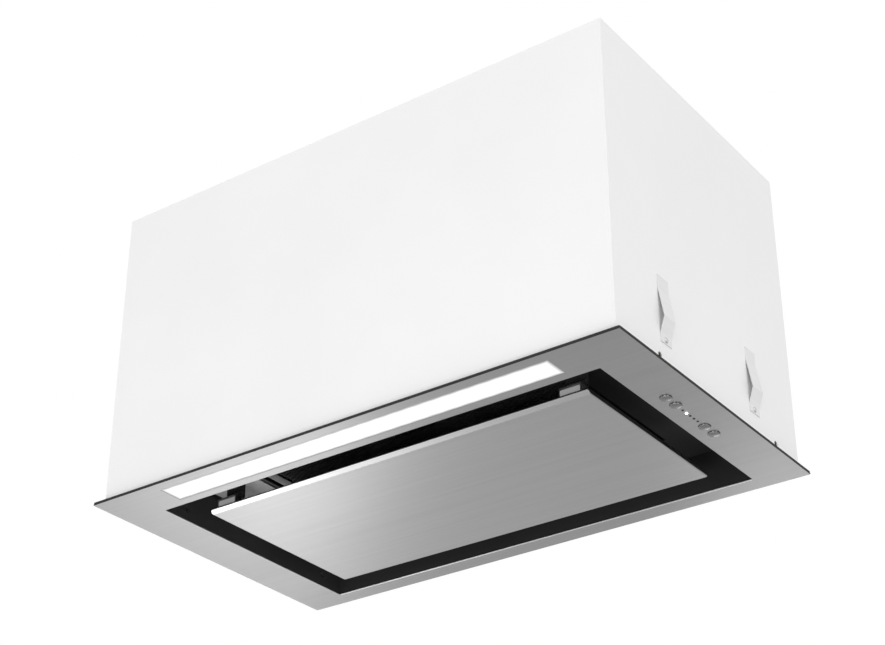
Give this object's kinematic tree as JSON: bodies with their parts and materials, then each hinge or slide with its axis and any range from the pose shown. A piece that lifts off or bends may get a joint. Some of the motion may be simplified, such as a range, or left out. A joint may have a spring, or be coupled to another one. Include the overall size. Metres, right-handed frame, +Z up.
{
  "type": "built-in range hood",
  "caption": "Built-in range hood with a flat flange, hinged perimeter suction panel, lamp strip, push buttons, grease filter, centrifugal blower and top duct collar.",
  "frame": {"origin": "middle of the seat plane, where the seal on the flange meets the cupboard's underside", "axes": "+X to the cook's right along the long side, +Y to the wall, +Z up into the cupboard"},
  "size_m": [0.52, 0.3, 0.3296],
  "materials": {
    "brushed_stainless": "fine brush lines along the width",
    "pale_sheet": "pale grey coated sheet",
    "black_sheet": "satin black coating",
    "bare_sheet": "plain galvanised sheet",
    "zinc_steel": "zinc plated",
    "spring_steel": "bright spring steel",
    "filter_aluminium": "anodised",
    "lamp_aluminium": "extruded",
    "button_steel": "turned cap",
    "opal_diffuser": "opal",
    "clear_lens": "smoked clear",
    "lit_lens": "lit clear",
    "black_plastic": "fine matt",
    "grey_plastic": "fine matt",
    "dark_plastic": "glass filled",
    "white_plastic": "plain",
    "circuit_green": "solder mask",
    "black_rubber": "closed cell",
    "motor_iron": "laminated",
    "motor_cover": "die cast"
  },
  "bodies": {
    "hood": {"flange_plate": "brushed_stainless", "flange_seal": "black_rubber", "outlet_gasket": "black_rubber", "vibration_mounts": "black_rubber", "casing_shell": "pale_sheet", "casing_back": "pale_sheet", "casing_top": "pale_sheet", "suction_tray": "black_sheet", "ceiling_plate": "black_sheet", "catch_posts": "black_sheet", "hinge_arms": "black_sheet", "driver_cover": "bare_sheet", "motor_bracket": "bare_sheet", "motor_body": "bare_sheet", "stud_nuts": "zinc_steel", "casing_screws": "zinc_steel", "collar_screws": "zinc_steel", "fixing_sleeves": "zinc_steel", "hinge_pins": "zinc_steel", "damper_pin": "zinc_steel", "motor_bearings": "zinc_steel", "side_springs": "spring_steel", "catch_clips": "spring_steel", "filter_frame": "filter_aluminium", "filter_mesh": "filter_aluminium", "latch_base": "black_plastic", "lamp_diffuser": "opal_diffuser", "lamp_housing": "lamp_aluminium", "lamp_board": "white_plastic", "lamp_driver": "white_plastic", "control_housing": "black_plastic", "control_board": "circuit_green", "push_switches": "black_plastic", "indicator_lenses": "clear_lens", "indicator_lens_lit": "lit_lens", "scroll_left": "dark_plastic", "scroll_right": "dark_plastic", "stator_core": "motor_iron", "motor_end_shield": "motor_cover", "power_box": "black_plastic", "power_lid": "black_plastic", "power_board": "circuit_green", "run_capacitor": "white_plastic", "cable_gland": "black_plastic", "gland_nut": "black_plastic", "duct_collar": "dark_plastic"},
    "panel": {"suction_panel": "brushed_stainless", "panel_ribs": "bare_sheet", "panel_catches": "grey_plastic", "panel_hinges": "bare_sheet"},
    "fan_rotor": {"impeller": "dark_plastic", "motor_shaft": "zinc_steel", "rotor_core": "motor_iron"},
    "flap_left": {"damper_flap_left": "dark_plastic"},
    "flap_right": {"damper_flap_right": "dark_plastic"},
    "latch": {"filter_latch": "black_plastic"},
    "button_a": {"button_1": "button_steel"},
    "button_b": {"button_2": "button_steel"},
    "button_c": {"button_3": "button_steel"},
    "button_d": {"button_4": "button_steel"}
  },
  "joints": [
    {"name": "panel_hinge", "type": "hinge", "parent": "hood", "child": "panel", "pos_m": [0, 0.097, 0.013], "axis": [1, 0, 0], "range_deg": [0, 85]},
    {"name": "impeller_spin", "type": "hinge", "parent": "hood", "child": "fan_rotor", "pos_m": [0, -0.022, 0.1694], "axis": [1, 0, 0], "continuous": true},
    {"name": "left_flap", "type": "hinge", "parent": "hood", "child": "flap_left", "pos_m": [0, 0.042, 0.2968], "axis": [0, 1, 0], "range_deg": [0, 75]},
    {"name": "right_flap", "type": "hinge", "parent": "hood", "child": "flap_right", "pos_m": [0, 0.042, 0.2968], "axis": [0, -1, 0], "range_deg": [0, 75]},
    {"name": "latch_slide", "type": "slide", "parent": "hood", "child": "latch", "axis": [0, 1, 0], "range_m": [0, 0.006], "stiffness_N_per_m": 200, "springref_m": -0.005},
    {"name": "press_a", "type": "slide", "parent": "hood", "child": "button_a", "axis": [0, 0, 1], "range_m": [0, 0.001], "stiffness_N_per_m": 300, "springref_m": -0.002},
    {"name": "press_b", "type": "slide", "parent": "hood", "child": "button_b", "axis": [0, 0, 1], "range_m": [0, 0.001], "stiffness_N_per_m": 300, "springref_m": -0.002},
    {"name": "press_c", "type": "slide", "parent": "hood", "child": "button_c", "axis": [0, 0, 1], "range_m": [0, 0.001], "stiffness_N_per_m": 300, "springref_m": -0.002},
    {"name": "press_d", "type": "slide", "parent": "hood", "child": "button_d", "axis": [0, 0, 1], "range_m": [0, 0.001], "stiffness_N_per_m": 300, "springref_m": -0.002}
  ]
}
